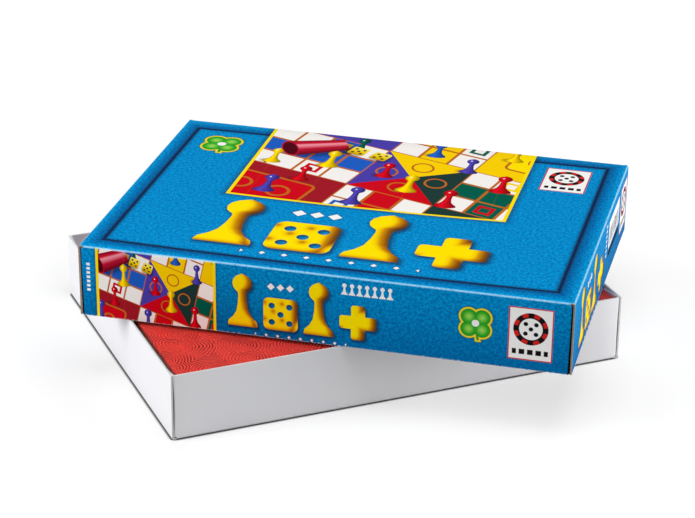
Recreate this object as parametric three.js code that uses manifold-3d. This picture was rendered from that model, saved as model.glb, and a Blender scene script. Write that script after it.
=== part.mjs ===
// Ludo game carton: a white base tray with its printed lid laid askew across the rims,
// and inside it the folded board, a card insert, the pawns, the dice and the cup.
// Millimetres, +Z up. The origin is the middle of the tray's underside and +X runs
// along the tray's long side.
import * as THREE from 'three';
import { mergeVertices, toCreasedNormals } from 'three/addons/utils/BufferGeometryUtils.js';
import { RoundedBoxGeometry } from 'three/addons/geometries/RoundedBoxGeometry.js';
import Module from 'manifold-3d';

const wasm = await Module();
wasm.setup();

// Clearances that the whole box shares
const seatGap = 0.3; // between a piece and what it rests on
const glueGap = 0.1; // thickness of a line of glue
const glueBite = 0.1; // how far a glued tab sinks into its wall
const tidyTolerance = 0.01; // slivers left by the joins are tidied below this

// Base tray, outside
const trayLength = 334;
const trayWidth = 242;
const trayHeight = 47.8;
const trayCard = 1.2;

// Lid, which slips over the tray
const lidHeight = 52;
const lidCard = 1.2;
const lidEndClearance = 1.6; // to the tray's end walls, inside the glued tabs
const lidSideClearance = 0.8; // to the tray's long walls
const lidShiftX = 14.8; // middle of the lid from the middle of the tray, as it lies
const lidShiftY = -14;
const lidYaw = THREE.MathUtils.degToRad(-36.6);

// Folds and corner tabs of both cartons
const foldRadius = 0.8; // at the middle of the card
const foldSteps = 5;
const tabLength = 34;
const tabTaper = 5; // how far the free end of a tab is cut back
const tabRelief = 0.7; // slit between a tab and the panel that it is cut from
const cutEdgeSetback = 0.3; // raw edge of an end wall behind the face of the long wall

// Folded card insert with a well across its middle
const insertCard = 1;
const insertEndClearance = 0.7;
const insertSideClearance = 0.6;
const insertFoldRadius = 0.8;
const wellWidth = 132;

// Folded game board
const boardDrop = 2.5; // its back below the rim of the tray
const boardEndClearance = 3.2;
const boardSideClearance = 5.2;
const boardShiftX = 1.4; // it has slid towards the right-hand end
const boardShiftY = -4.4; // and to the front of the tray
const leafThickness = 1.8;
const backPaper = 0.4;
const facePaper = 0.4;
const foldedGap = 0.3; // between the two halves of the playing face
const hingeRadius = 1.1;
const leafSetback = 0.6; // edges of the leaves behind the turn of the paper
const turnInDepth = 2.3; // how far the paper is turned in over the edges of a leaf

// Rules leaflet, one sheet folded once
const leafletLength = 148;
const leafletWidth = 105;
const leafletSheet = 0.25;
const leafletGap = 0.2;
const leafletShiftY = -34;

// Pawns
const pawnBaseRadius = 7.5;
const pawnHeight = 25;
const pawnSkirt = 2.2;
const pawnShoulder = 12.5;
const pawnNeckRadius = 2.3;
const pawnHeadRadius = 4.1;
const pawnChamfer = 0.6;
const pawnRecessRadius = 5.4;
const pawnRecessDepth = 1.6;
const pawnSegments = 18;
const pawnDomeSteps = 4;
const pawnHeadSteps = 6;
const pawnGap = 4;
const pawnsPerColour = 4;
const pawnBlockShiftX = -16;

// Dice
const dieSize = 13;
const dieRounding = 1.8;
const dieRoundingSteps = 2;
const pipRadius = 1.3;
const pipDepth = 0.5;
const pipPitch = 3.4;
const pipSegments = 8;
const diePlaceX = 42;
const diePlaceY = -20;
const dieSpread = 24;

// Dice cup, lying on its side
const cupLength = 52;
const cupHeadroom = 3; // between the cup and the board above it
const cupTaper = 1.7; // rim radius less foot radius
const cupWall = 1.7;
const cupFloor = 2.2;
const cupRimBand = 4;
const cupRimProud = 0.6;
const cupLipRound = 0.5;
const cupSegments = 32;
const cupWellMargin = 16;

// Finishes
const creaseAngle = THREE.MathUtils.degToRad(35);
const finish = (name, color, roughness) => {
  const material = new THREE.MeshStandardMaterial({ color, roughness, metalness: 0 });
  material.name = name;
  return material;
};
const finishes = {
  lidCard: finish('lid_card', '#0a86c6', 0.45),
  trayCard: finish('tray_card', '#f2f2f5', 0.6),
  insertCard: finish('insert_card', '#e8e6df', 0.8),
  greyboard: finish('greyboard', '#8f877a', 0.9),
  backPaper: finish('back_paper', '#bf2a2c', 0.55),
  facePaper: finish('face_paper', '#e5dcc3', 0.4),
  leaflet: finish('leaflet_paper', '#eeeeea', 0.85),
  red: finish('pawn_red', '#cd0a26', 0.3),
  blue: finish('pawn_blue', '#463ca5', 0.3),
  yellow: finish('pawn_yellow', '#f0c808', 0.3),
  green: finish('pawn_green', '#0a5a48', 0.3),
  dice: finish('dice_yellow', '#f2d21c', 0.3),
  cup: finish('cup_red', '#b5152f', 0.35),
};

// Turns a closed surface into a solid for union, difference and intersection
function solid(geometry) {
  const bare = geometry.clone();
  bare.deleteAttribute('normal');
  bare.deleteAttribute('uv');
  const welded = mergeVertices(bare);
  return new wasm.Manifold(new wasm.Mesh({
    numProp: 3,
    vertProperties: Float32Array.from(welded.attributes.position.array),
    triVerts: Uint32Array.from(welded.index.array),
  }));
}

function surface(body) {
  const mesh = body.simplify(tidyTolerance).getMesh();
  const geometry = new THREE.BufferGeometry();
  geometry.setAttribute('position', new THREE.BufferAttribute(mesh.vertProperties, 3));
  geometry.setIndex(new THREE.BufferAttribute(mesh.triVerts, 1));
  return geometry;
}

const joined = (bodies) => bodies.reduce((whole, body) => whole.add(body));

// Section of a bent sheet: the line through the corners is the middle of the sheet
function bentSheet(corners, thickness, radius, steps = foldSteps) {
  const left = [];
  const right = [];
  const sideOf = (along) => new THREE.Vector2(-along.y, along.x);
  corners.forEach((corner, index) => {
    const before = corners[index - 1];
    const after = corners[index + 1];
    if (!before || !after) {
      const along = (after ? after.clone().sub(corner) : corner.clone().sub(before)).normalize();
      const side = sideOf(along).multiplyScalar(thickness / 2);
      left.push(corner.clone().add(side));
      right.push(corner.clone().sub(side));
      return;
    }
    const into = corner.clone().sub(before).normalize();
    const away = after.clone().sub(corner).normalize();
    const turn = Math.atan2(into.cross(away), into.dot(away));
    const hand = Math.sign(turn);
    const setback = radius * Math.tan(Math.abs(turn) / 2);
    const start = corner.clone().addScaledVector(into, -setback);
    const centre = start.clone().addScaledVector(sideOf(into), hand * radius);
    for (let step = 0; step <= steps; step += 1) {
      const radial = sideOf(into).multiplyScalar(-hand);
      radial.rotateAround(new THREE.Vector2(), (turn * step) / steps);
      left.push(centre.clone().addScaledVector(radial, radius - (hand * thickness) / 2));
      right.push(centre.clone().addScaledVector(radial, radius + (hand * thickness) / 2));
    }
  });
  return new THREE.Shape([...left, ...right.reverse()]);
}

const outline = (points) => points.map(([u, v]) => new THREE.Vector2(u, v));

function extruded(shape, depth) {
  return new THREE.ExtrudeGeometry(shape, { depth, bevelEnabled: false });
}

const alongAxis = {
  // section drawn in Y and Z, centred on X
  x(shape, length) {
    const [x, y, z] = [new THREE.Vector3(), new THREE.Vector3(), new THREE.Vector3()];
    new THREE.Matrix4().extractBasis(x, y, z);
    const turn = new THREE.Matrix4().makeBasis(y, z, x);
    return extruded(shape, length).translate(0, 0, -length / 2).applyMatrix4(turn);
  },
  // section drawn in X and Z, centred on Y
  y(shape, length) {
    const [x, y, z] = [new THREE.Vector3(), new THREE.Vector3(), new THREE.Vector3()];
    new THREE.Matrix4().extractBasis(x, y, z);
    const turn = new THREE.Matrix4().makeBasis(x, z, y.negate());
    return extruded(shape, length).translate(0, 0, -length / 2).applyMatrix4(turn);
  },
  // section drawn in X and Y, standing between two heights
  z(shape, low, high) {
    return extruded(shape, high - low).translate(0, 0, low);
  },
};

// One corner of a carton: the end of a long wall turns in behind the end wall and is
// glued there. Its free end is cut back above and below.
function cornerTab(length, width, height, card, sideX, sideY) {
  const wallY = sideY * (width / 2 - card / 2);
  const tabX = sideX * (length / 2 - card - card / 2 + glueBite);
  const startX = tabX - sideX * (tabTaper + foldRadius);
  const endY = sideY * (width / 2 - tabLength);
  const plan = bentSheet(outline([[startX, wallY], [tabX, wallY], [tabX, endY]]), card, foldRadius);
  const standing = solid(alongAxis.z(plan, card + tabRelief, height));
  const turnY = sideY * (width / 2 - card - foldRadius);
  const outer = sideY * (width / 2 + card);
  const trim = new THREE.Shape(outline([
    [outer, 0],
    [turnY, 0],
    [turnY, card + tabRelief],
    [endY, card + tabRelief + tabTaper],
    [endY, height - tabTaper],
    [turnY, height],
    [outer, height],
  ]));
  return standing.intersect(solid(alongAxis.x(trim, length)));
}

// An open carton standing on its panel: panel and long walls in one bent section,
// panel and end walls in another, and a glued tab at each corner
function carton(length, width, height, card) {
  const bendOut = foldRadius + card / 2;
  const walls = (span) => bentSheet(outline([
    [-span / 2 + card / 2, height],
    [-span / 2 + card / 2, card / 2],
    [span / 2 - card / 2, card / 2],
    [span / 2 - card / 2, height],
  ]), card, foldRadius);
  const longWalls = alongAxis.x(walls(width), length - 2 * (card + bendOut));
  const endWalls = alongAxis.y(walls(length), width - 2 * cutEdgeSetback);
  const tabs = [-1, 1].flatMap((sideX) => [-1, 1].map((sideY) => (
    cornerTab(length, width, height, card, sideX, sideY)
  )));
  return surface(joined([solid(longWalls), solid(endWalls), ...tabs]));
}

const group = new THREE.Group();
function piece(name, geometry, material) {
  const mesh = new THREE.Mesh(toCreasedNormals(geometry, creaseAngle), material);
  mesh.name = name;
  group.add(mesh);
}

// Base tray and lid
piece('base_tray', carton(trayLength, trayWidth, trayHeight, trayCard), finishes.trayCard);

const lidLength = trayLength + 2 * (lidEndClearance + lidCard + lidCard);
const lidWidth = trayWidth + 2 * (lidSideClearance + lidCard);
const lid = carton(lidLength, lidWidth, lidHeight, lidCard);
lid.rotateX(Math.PI).translate(0, 0, lidHeight);
lid.rotateZ(lidYaw).translate(lidShiftX, lidShiftY, trayHeight + seatGap);
piece('lid', lid, finishes.lidCard);

// Heights of the stack in the tray, worked down from the back of the board
const boardTop = trayHeight - boardDrop;
const upperLeafTop = boardTop - backPaper - glueGap;
const faceTop = upperLeafTop - leafThickness - glueGap;
const faceBottom = faceTop - facePaper - foldedGap - facePaper;
const lowerLeafTop = faceBottom - glueGap;
const boardBottom = lowerLeafTop - leafThickness - glueGap - backPaper;
const insertTop = boardBottom - seatGap;
const insertFoot = trayCard + seatGap;
const wellFloor = insertFoot + insertCard;

// Insert: legs at the ends, two platforms and the well between them
const insertLength = trayLength - 2 * (trayCard + trayCard + insertEndClearance);
const insertWidth = trayWidth - 2 * (trayCard + insertSideClearance);
const legX = insertLength / 2 - insertCard / 2;
const wellX = wellWidth / 2 + insertCard / 2;
const insertSection = bentSheet(outline([
  [-legX, insertFoot],
  [-legX, insertTop - insertCard / 2],
  [-wellX, insertTop - insertCard / 2],
  [-wellX, insertFoot + insertCard / 2],
  [wellX, insertFoot + insertCard / 2],
  [wellX, insertTop - insertCard / 2],
  [legX, insertTop - insertCard / 2],
  [legX, insertFoot],
]), insertCard, insertFoldRadius);
piece('insert', alongAxis.y(insertSection, insertWidth), finishes.insertCard);

// Rules leaflet on the floor of the well
const leafletBottom = wellFloor + seatGap;
const leafletRise = leafletSheet + leafletGap;
const leafletTop = leafletBottom + leafletSheet + leafletRise;
const leafletSection = bentSheet(outline([
  [leafletWidth / 2, leafletBottom + leafletSheet / 2],
  [-leafletWidth / 2 + leafletSheet / 2, leafletBottom + leafletSheet / 2],
  [-leafletWidth / 2 + leafletSheet / 2, leafletTop - leafletSheet / 2],
  [leafletWidth / 2, leafletTop - leafletSheet / 2],
]), leafletSheet, leafletRise / 2);
const leaflet = alongAxis.y(leafletSection, leafletLength).translate(0, leafletShiftY, 0);
piece('rules_leaflet', leaflet, finishes.leaflet);

// Folded board: the hinge lies along the back long side
const boardLength = trayLength - 2 * (trayCard + boardEndClearance);
const boardWidth = trayWidth - 2 * (trayCard + boardSideClearance);
const openEdge = -boardWidth / 2;
const hingeEdge = boardWidth / 2;
const underPaper = backPaper + leafSetback;
const [leafFront, leafBack] = [openEdge + underPaper, hingeEdge - underPaper];
const doubled = (low, high, front, back, sheet) => [
  [front, high - sheet / 2],
  [back - sheet / 2, high - sheet / 2],
  [back - sheet / 2, low + sheet / 2],
  [front, low + sheet / 2],
];
const onBoard = (section, inset = 0) => (
  alongAxis.x(section, boardLength - 2 * inset).translate(boardShiftX, boardShiftY, 0)
);

// Back paper: one sheet round the hinge, turned in over all the edges of both leaves
const paperBend = hingeRadius + backPaper / 2;
const paperFront = openEdge + backPaper / 2;
const backSection = bentSheet(outline([
  [paperFront, boardTop - turnInDepth],
  ...doubled(boardBottom, boardTop, paperFront, hingeEdge, backPaper),
  [paperFront, boardBottom + turnInDepth],
]), backPaper, hingeRadius);
const turnedIn = [[boardTop, -1], [boardBottom, 1]].map(([face, inwards]) => {
  const end = boardLength / 2 - backPaper / 2;
  const middle = face + (inwards * backPaper) / 2;
  const sheet = bentSheet(outline([
    [-end, face + inwards * turnInDepth],
    [-end, middle],
    [end, middle],
    [end, face + inwards * turnInDepth],
  ]), backPaper, hingeRadius);
  return solid(alongAxis.y(sheet, boardWidth - 2 * paperBend).translate(boardShiftX, boardShiftY, 0));
});
const backBody = joined([solid(onBoard(backSection, paperBend)), ...turnedIn]);
piece('board_back_paper', surface(backBody), finishes.backPaper);

const leafSection = (low) => new THREE.Shape(outline([
  [leafFront, low],
  [leafBack, low],
  [leafBack, low + leafThickness],
  [leafFront, low + leafThickness],
]));
const faceFoldRadius = (facePaper + foldedGap) / 2;
const faceLine = outline(doubled(faceBottom, faceTop, leafFront, leafBack, facePaper));
const faceSection = bentSheet(faceLine, facePaper, faceFoldRadius);
const upperLeaf = onBoard(leafSection(upperLeafTop - leafThickness), underPaper);
const lowerLeaf = onBoard(leafSection(lowerLeafTop - leafThickness), underPaper);
piece('board_upper_leaf', upperLeaf, finishes.greyboard);
piece('board_lower_leaf', lowerLeaf, finishes.greyboard);
piece('board_face_paper', onBoard(faceSection, underPaper), finishes.facePaper);

// Pawn: domed foot with a recess below, slim neck and round head
function pawnProfile() {
  const points = outline([
    [0, pawnRecessDepth],
    [pawnRecessRadius, pawnRecessDepth],
    [pawnRecessRadius, 0],
    [pawnBaseRadius - pawnChamfer, 0],
    [pawnBaseRadius, pawnChamfer],
  ]);
  for (let step = 0; step <= pawnDomeSteps; step += 1) {
    const angle = (Math.PI / 2) * (step / pawnDomeSteps);
    points.push(new THREE.Vector2(
      pawnNeckRadius + (pawnBaseRadius - pawnNeckRadius) * Math.cos(angle),
      pawnSkirt + (pawnShoulder - pawnSkirt) * Math.sin(angle),
    ));
  }
  const headStart = Math.asin(pawnNeckRadius / pawnHeadRadius);
  for (let step = 0; step <= pawnHeadSteps; step += 1) {
    const angle = headStart + (Math.PI - headStart) * (step / pawnHeadSteps);
    points.push(new THREE.Vector2(
      step === pawnHeadSteps ? 0 : pawnHeadRadius * Math.sin(angle),
      pawnHeight - pawnHeadRadius - pawnHeadRadius * Math.cos(angle),
    ));
  }
  return points;
}

const standing = (geometry) => geometry.rotateX(Math.PI / 2);
const pawnPitch = 2 * pawnBaseRadius + pawnGap;
const pieceBase = leafletTop + seatGap;
['red', 'blue', 'yellow', 'green'].forEach((colour, row) => {
  for (let place = 0; place < pawnsPerColour; place += 1) {
    const pawn = standing(new THREE.LatheGeometry(pawnProfile(), pawnSegments));
    pawn.translate(
      pawnBlockShiftX + (place - (pawnsPerColour - 1) / 2) * pawnPitch,
      leafletShiftY + (row - (pawnsPerColour - 1) / 2) * pawnPitch,
      pieceBase,
    );
    piece(`pawn_${colour}_${place + 1}`, surface(solid(pawn)), finishes[colour]);
  }
});

// Die: opposite faces add up to seven
const pipLayouts = {
  1: [[0, 0]],
  2: [[-1, -1], [1, 1]],
  3: [[-1, -1], [0, 0], [1, 1]],
  4: [[-1, -1], [-1, 1], [1, -1], [1, 1]],
  5: [[-1, -1], [-1, 1], [0, 0], [1, -1], [1, 1]],
  6: [[-1, -1], [-1, 0], [-1, 1], [1, -1], [1, 0], [1, 1]],
};
const dieFaces = [
  [1, new THREE.Euler(0, 0, 0)],
  [6, new THREE.Euler(Math.PI, 0, 0)],
  [2, new THREE.Euler(Math.PI / 2, 0, 0)],
  [5, new THREE.Euler(-Math.PI / 2, 0, 0)],
  [3, new THREE.Euler(0, Math.PI / 2, 0)],
  [4, new THREE.Euler(0, -Math.PI / 2, 0)],
];
function dieBody() {
  const blank = new RoundedBoxGeometry(dieSize, dieSize, dieSize, dieRoundingSteps, dieRounding);
  let body = solid(blank);
  const pipBall = (pipRadius * pipRadius + pipDepth * pipDepth) / (2 * pipDepth);
  for (const [count, turn] of dieFaces) {
    for (const [column, row] of pipLayouts[count]) {
      const pip = new THREE.SphereGeometry(pipBall, pipSegments, pipSegments);
      pip.rotateX(Math.PI / 2);
      pip.translate(column * pipPitch, row * pipPitch, dieSize / 2 - pipDepth + pipBall);
      pip.applyMatrix4(new THREE.Matrix4().makeRotationFromEuler(turn));
      body = body.subtract(solid(pip));
    }
  }
  return surface(body);
}
const dieTurns = [
  new THREE.Euler(0, 0, THREE.MathUtils.degToRad(24)),
  new THREE.Euler(Math.PI / 2, 0, THREE.MathUtils.degToRad(-15)),
];
dieTurns.forEach((turn, index) => {
  const die = dieBody();
  die.applyMatrix4(new THREE.Matrix4().makeRotationX(turn.x));
  die.applyMatrix4(new THREE.Matrix4().makeRotationZ(turn.z));
  die.translate(diePlaceX, diePlaceY - index * dieSpread, pieceBase + dieSize / 2);
  piece(`die_${index + 1}`, die, finishes.dice);
});

// Cup: tapered, with a band round its rim, lying on its side behind the leaflet
const cupRimRadius = (boardBottom - cupHeadroom - wellFloor - seatGap) / 2;
const cupFootRadius = cupRimRadius - cupTaper;
const cupBodyRadius = cupRimRadius - cupRimProud;
const cupProfile = outline([
  [0, 0],
  [cupFootRadius - cupLipRound, 0],
  [cupFootRadius, cupLipRound],
  [cupBodyRadius, cupLength - cupRimBand],
  [cupRimRadius, cupLength - cupRimBand + cupRimProud],
  [cupRimRadius, cupLength - cupLipRound],
  [cupRimRadius - cupLipRound, cupLength],
  [cupBodyRadius - cupWall + cupLipRound, cupLength],
  [cupBodyRadius - cupWall, cupLength - cupLipRound],
  [cupFootRadius - cupWall, cupFloor],
  [0, cupFloor],
]);
const cupTilt = Math.atan2(cupTaper, cupLength - 2 * cupLipRound);
const cup = surface(solid(new THREE.LatheGeometry(cupProfile, cupSegments)));
cup.translate(0, -cupLength / 2, 0).rotateZ(Math.PI / 2).rotateY(cupTilt);
cup.computeBoundingBox();
const cupY = insertWidth / 2 - cupWellMargin - cupRimRadius;
cup.translate(0, cupY, wellFloor + seatGap - cup.boundingBox.min.z);
piece('dice_cup', cup, finishes.cup);

export default group;
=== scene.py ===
import math

import bmesh
import bpy
from mathutils import Euler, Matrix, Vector


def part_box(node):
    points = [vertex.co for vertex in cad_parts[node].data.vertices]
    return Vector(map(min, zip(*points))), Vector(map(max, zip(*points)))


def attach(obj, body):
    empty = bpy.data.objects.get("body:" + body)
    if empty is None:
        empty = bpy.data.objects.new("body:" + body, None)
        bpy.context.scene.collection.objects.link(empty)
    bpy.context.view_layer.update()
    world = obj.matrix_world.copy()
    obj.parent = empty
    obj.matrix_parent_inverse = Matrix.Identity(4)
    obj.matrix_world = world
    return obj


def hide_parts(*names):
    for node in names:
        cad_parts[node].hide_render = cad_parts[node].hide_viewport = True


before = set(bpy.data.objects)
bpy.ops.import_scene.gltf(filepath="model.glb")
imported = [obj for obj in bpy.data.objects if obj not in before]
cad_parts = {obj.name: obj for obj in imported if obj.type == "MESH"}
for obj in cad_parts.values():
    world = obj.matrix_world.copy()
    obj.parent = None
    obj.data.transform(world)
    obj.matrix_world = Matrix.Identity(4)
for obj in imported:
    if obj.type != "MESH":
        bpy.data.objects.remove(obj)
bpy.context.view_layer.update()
mm = 0.001
print("frame loaded")


# general helpers: selecting in code, finishing a piece

def toObjectMode():
    if bpy.context.object and bpy.context.object.mode != "OBJECT":
        bpy.ops.object.mode_set(mode="OBJECT")


def deselectAll():
    toObjectMode()
    bpy.ops.object.select_all(action="DESELECT")


def selectOnly(piece):
    deselectAll()
    piece.select_set(True)
    bpy.context.view_layer.objects.active = piece


def editPiece(piece, mode="FACE"):
    selectOnly(piece)
    bpy.ops.object.mode_set(mode="EDIT")
    bpy.ops.mesh.select_mode(type=mode)


def pick(piece, kind, wanted):
    # kind is faces or edges
    shape = bmesh.from_edit_mesh(piece.data)
    bpy.ops.mesh.select_all(action="DESELECT")
    for part in getattr(shape, kind):
        if wanted(part):
            part.select_set(True)
    bmesh.update_edit_mesh(piece.data)


def cutThrough(point, normal):
    bpy.ops.mesh.select_all(action="SELECT")
    bpy.ops.mesh.bisect(plane_co=point, plane_no=normal)


def faceOutwards():
    bpy.ops.mesh.select_all(action="SELECT")
    bpy.ops.mesh.normals_make_consistent(inside=False)
    toObjectMode()


def addModifier(piece, kind, **settings):
    modifier = piece.modifiers.new(kind.title(), kind)
    for name, value in settings.items():
        setattr(modifier, name, value)
    selectOnly(piece)
    bpy.ops.object.modifier_apply(modifier=modifier.name)


def settle(piece, angle=32):
    selectOnly(piece)
    bpy.ops.object.transform_apply(location=True, rotation=True, scale=True)
    bpy.ops.object.shade_smooth_by_angle(angle=math.radians(angle))


def setMaterials(piece, *materials):
    piece.data.materials.clear()
    for material in materials:
        piece.data.materials.append(material)


def copyOf(piece, name):
    twin = piece.copy()
    twin.data = piece.data.copy()
    twin.name = name
    bpy.context.collection.objects.link(twin)
    return twin


# node helpers: they add to the tree of the material that is being made

making = dict(tree=None)


def inked(red, green, blue):
    def linear(value):
        part = value / 255
        return part / 12.92 if part <= 0.04045 else ((part + 0.055) / 1.055) ** 2.4
    return (linear(red), linear(green), linear(blue), 1.0)


def feed(socket, value):
    if isinstance(value, bpy.types.NodeSocket):
        making["tree"].links.new(value, socket)
    else:
        socket.default_value = value


def nodeOf(kind, inputs, **settings):
    node = making["tree"].nodes.new("ShaderNode" + kind)
    for name, value in settings.items():
        setattr(node, name, value)
    for place, value in inputs.items():  # by number or by name
        feed(node.inputs[place], value)
    return node


def calc(operation, *values):
    return nodeOf("Math", dict(enumerate(values)), operation=operation).outputs[0]


def times(a, b):
    return calc("MULTIPLY", a, b)


def timesPlus(value, factor, extra):
    return calc("MULTIPLY_ADD", value, factor, extra)


def plus(a, b):
    return calc("ADD", a, b)


def minus(a, b):
    return calc("SUBTRACT", a, b)


def least(a, b):
    return calc("MINIMUM", a, b)


def most(a, b):
    return calc("MAXIMUM", a, b)


def away(value):
    return calc("ABSOLUTE", value)  # distance from zero, either way


def less(a, b):
    return calc("LESS_THAN", a, b)


def greater(a, b):
    return calc("GREATER_THAN", a, b)


def vectorCalc(operation, *values, **inputs):
    node = nodeOf("VectorMath", {**dict(enumerate(values)), **inputs}, operation=operation)
    return node.outputs["Value" if operation in ("LENGTH", "DOT_PRODUCT") else "Vector"]


def fade(value, low, high):
    # a soft step from 0 up to 1, or from 1 down to 0 where low is above high
    ends = (high, low, 1, 0) if low > high else (low, high, 0, 1)
    inputs = dict(enumerate((value, *ends)))
    return nodeOf("MapRange", inputs, interpolation_type="SMOOTHSTEP").outputs["Result"]


def mix(amount, under, over, blend="MIX"):
    inputs = {0: amount, 6: under, 7: over}
    return nodeOf("Mix", inputs, data_type="RGBA", blend_type=blend).outputs[2]


def vectorMix(amount, under, over):
    return nodeOf("Mix", {0: amount, 4: under, 5: over}, data_type="VECTOR").outputs[1]


def ramp(value, stops, last=None, kind="LINEAR"):
    # stops are (value, colour), in rising order
    low, high = stops[0][0], stops[-1][0] if last is None else last
    spread = nodeOf("MapRange", {0: value, 1: low, 2: high})
    node = nodeOf("ValToRGB", {0: spread.outputs["Result"]})
    elements = node.color_ramp.elements
    node.color_ramp.interpolation = kind
    while len(elements) < len(stops):
        elements.new(0.5)
    for element, (at, colour) in zip(elements, stops):
        element.position = (at - low) / (high - low)
        element.color = colour
    return node.outputs["Color"]


def curveOf(value, points, tallest):
    # straight lines between the (value, height) points, heights from 0 to tallest
    low, high = points[0][0], points[-1][0]
    spread = nodeOf("MapRange", {0: value, 1: low, 2: high})
    node = nodeOf("FloatCurve", {"Value": spread.outputs["Result"]})
    line = node.mapping.curves[0]
    node.mapping.extend = "HORIZONTAL"
    while len(line.points) < len(points):
        line.points.new(0.5, 0.5)
    for point, (at, height) in zip(line.points, points):
        point.location = ((at - low) / (high - low), height / tallest)
        point.handle_type = "VECTOR"
    node.mapping.update()
    return times(node.outputs[0], tallest)


def mapped(vector, shift=(0, 0, 0), scale=(1, 1, 1), turn=0.0):
    inputs = dict(Vector=vector, Location=shift, Rotation=(0, 0, math.radians(turn)), Scale=scale)
    return nodeOf("Mapping", inputs).outputs[0]


def apart(vector):
    return tuple(nodeOf("SeparateXYZ", {0: vector}).outputs)


def together(x, y, z=0.0):
    return nodeOf("CombineXYZ", {0: x, 1: y, 2: z}).outputs[0]


def noise(vector, scale, detail=2.0, roughness=0.5, stretch=0.0, output="Fac"):
    inputs = dict(Vector=vector, Scale=scale, Detail=detail, Roughness=roughness,
                  Distortion=stretch)
    return nodeOf("TexNoise", inputs).outputs[output]


def newMaterial(name, roughness=0.5, specular=0.5, coat=0.0, coatRoughness=0.1):
    material = bpy.data.materials.new(name)
    material.use_nodes = True
    making["tree"] = material.node_tree
    shader = material.node_tree.nodes["Principled BSDF"]
    shader.inputs["Roughness"].default_value = roughness
    shader.inputs["Specular IOR Level"].default_value = specular
    if coat:
        shader.inputs["Coat Weight"].default_value = coat
        shader.inputs["Coat Roughness"].default_value = coatRoughness
    return material, shader


def surfaceOf(shader, colour, height, strength, depth, gloss=None):
    feed(shader.inputs["Base Color"], colour)
    bump = nodeOf("Bump", dict(Height=height, Strength=strength, Distance=depth * mm))
    feed(shader.inputs["Normal"], bump.outputs["Normal"])
    if gloss is not None:
        feed(shader.inputs["Roughness"], gloss)


def objectMm():
    return mapped(nodeOf("TexCoord", {}).outputs["Object"], scale=(1000, 1000, 1000))


def netMm():
    return mapped(nodeOf("UVMap", {}, uv_map="net").outputs["UV"], scale=(1000, 1000, 1))


# card: a scored blank, folded and glued at its corners

foldStrips = 4  # strips that make one rounded fold
foldTurn = 90 / (foldStrips + 1)
cornerCut = dict(tabLength=34, tabTaper=5, relief=0.7, setback=0.3, slit=0.15, glue=0.05, turn=1.9)
cutShares = dict(wall=(0.3, 0.6, 0.97), length=(0.14, 0.3, 0.46, 0.62, 0.78, 0.92),
                 width=(0.17, 0.36, 0.55, 0.74, 0.9))  # extra cuts, so that the card can bow
cardEdge = dict(bevel=0.14, bevelFrom=50, sliver=0.02)
wallBand, endShare = 3, 0.6  # how deep a wall's points lie in mm, and how much less an end draws in


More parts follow.
